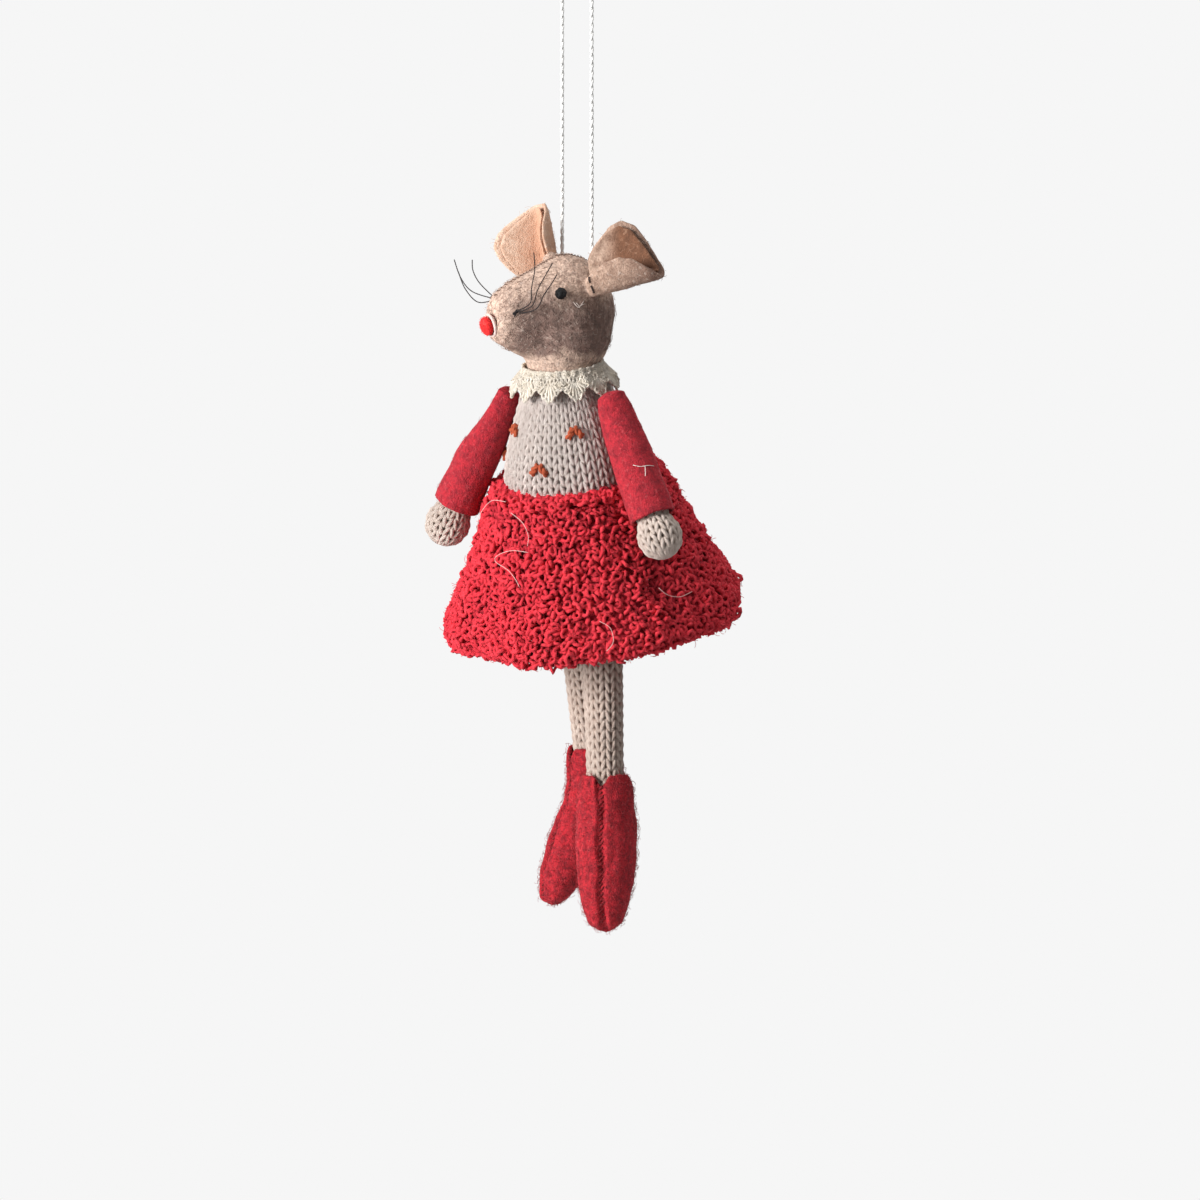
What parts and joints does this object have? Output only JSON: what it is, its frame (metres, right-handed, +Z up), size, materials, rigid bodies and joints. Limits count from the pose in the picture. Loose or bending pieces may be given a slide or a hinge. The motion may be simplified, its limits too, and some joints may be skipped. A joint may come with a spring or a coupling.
{
  "type": "mouse hanging decoration",
  "caption": "Hanging mouse doll of felt and knit with a string loop, lace collar, long red sleeves, looped-yarn skirt and felted boots.",
  "frame": {"origin": "top of the string's hanging loop, on the loop's middle line", "axes": "+Z up along the hanging string, the doll's chest faces -Y and its left side is +X"},
  "size_m": [0.0804, 0.0787, 0.2596],
  "materials": {
    "cotton_string": "white two-ply twisted cord",
    "wool_felt": "thin pressed wool felt, mottled pinkish grey-beige",
    "ear_felt": "thin pressed wool felt, pale peach",
    "ear_lining_felt": "brown felt with a pale rim",
    "stuffing_wool": "loose white wool",
    "black_bead": "small rough black bead",
    "red_nose_wool": "bright red fine-textured wool",
    "pale_wool": "pale pinkish white wool",
    "black_thread": "stiff waxed black thread",
    "brown_thread": "brown sewing thread",
    "beige_knit": "stocking-stitch knit, pale pinkish beige",
    "rust_yarn": "rust-orange knitting yarn",
    "cream_lace": "cream cotton crochet lace",
    "red_loop_yarn": "curled red loop yarn",
    "red_felt": "felted red wool",
    "red_thread": "dark red seam thread"
  },
  "bodies": {
    "hanging_loop": {"hanging_string": "cotton_string"},
    "head": {"head_left_felt": "wool_felt", "head_right_felt": "wool_felt", "head_stuffing": "stuffing_wool", "string_inside_head": "cotton_string", "crown_seam": "brown_thread", "ear_left_felt": "ear_felt", "ear_left_lining": "ear_lining_felt", "ear_right_felt": "ear_felt", "ear_right_lining": "ear_lining_felt", "eye_left": "black_bead", "eye_right": "black_bead", "nose": "red_nose_wool", "nose_cup": "pale_wool", "whisker_left_1": "black_thread", "whisker_left_2": "black_thread", "whisker_left_3": "black_thread", "whisker_right_1": "black_thread", "whisker_right_2": "black_thread", "whisker_right_3": "black_thread"},
    "torso": {"torso_knit": "beige_knit", "torso_stuffing": "stuffing_wool", "neck_stitching": "pale_wool", "rust_mark_1_1": "rust_yarn", "rust_mark_1_2": "rust_yarn", "rust_mark_1_3": "rust_yarn", "rust_mark_1_4": "rust_yarn", "rust_mark_2_1": "rust_yarn", "rust_mark_2_2": "rust_yarn", "rust_mark_2_3": "rust_yarn", "rust_mark_2_4": "rust_yarn", "skirt": "red_loop_yarn", "waist_seam": "red_thread", "lace_collar": "cream_lace"},
    "left_arm": {"sleeve_left": "red_felt", "hand_left": "beige_knit", "arm_stuffing_left": "stuffing_wool"},
    "left_leg": {"leg_left_knit": "beige_knit", "leg_left_stuffing": "stuffing_wool", "boot_left_felt": "red_felt", "boot_left_stuffing": "stuffing_wool", "boot_left_seam": "red_thread"},
    "right_arm": {"sleeve_right": "red_felt", "hand_right": "beige_knit", "arm_stuffing_right": "stuffing_wool"},
    "right_leg": {"leg_right_knit": "beige_knit", "leg_right_stuffing": "stuffing_wool", "boot_right_felt": "red_felt", "boot_right_stuffing": "stuffing_wool", "boot_right_seam": "red_thread"}
  },
  "joints": [
    {"name": "string_twist", "type": "hinge", "parent": "hanging_loop", "child": "head", "pos_m": [0, 0, 0], "axis": [0, 0, 1], "range_deg": [-180, 180], "deforming": ["hanging_string"]},
    {"name": "neck_turn", "type": "hinge", "parent": "head", "child": "torso", "pos_m": [-0.00223, -0.00356, -0.1092], "axis": [0, 0, 1], "range_deg": [-40, 40]},
    {"name": "left_arm_swing", "type": "hinge", "parent": "torso", "child": "left_arm", "pos_m": [0.01527, -0.00576, -0.11858], "axis": [-1, 0, 0], "range_deg": [0, 110]},
    {"name": "right_arm_swing", "type": "hinge", "parent": "torso", "child": "right_arm", "pos_m": [-0.01973, -0.00576, -0.11858], "axis": [-1, 0, 0], "range_deg": [0, 110]},
    {"name": "left_leg_swing", "type": "hinge", "parent": "torso", "child": "left_leg", "pos_m": [0.00507, 0.00384, -0.16298], "axis": [-1, 0, 0], "range_deg": [-35, 35]},
    {"name": "right_leg_swing", "type": "hinge", "parent": "torso", "child": "right_leg", "pos_m": [-0.00863, 0.01164, -0.16168], "axis": [-1, 0, 0], "range_deg": [-35, 35]}
  ]
}
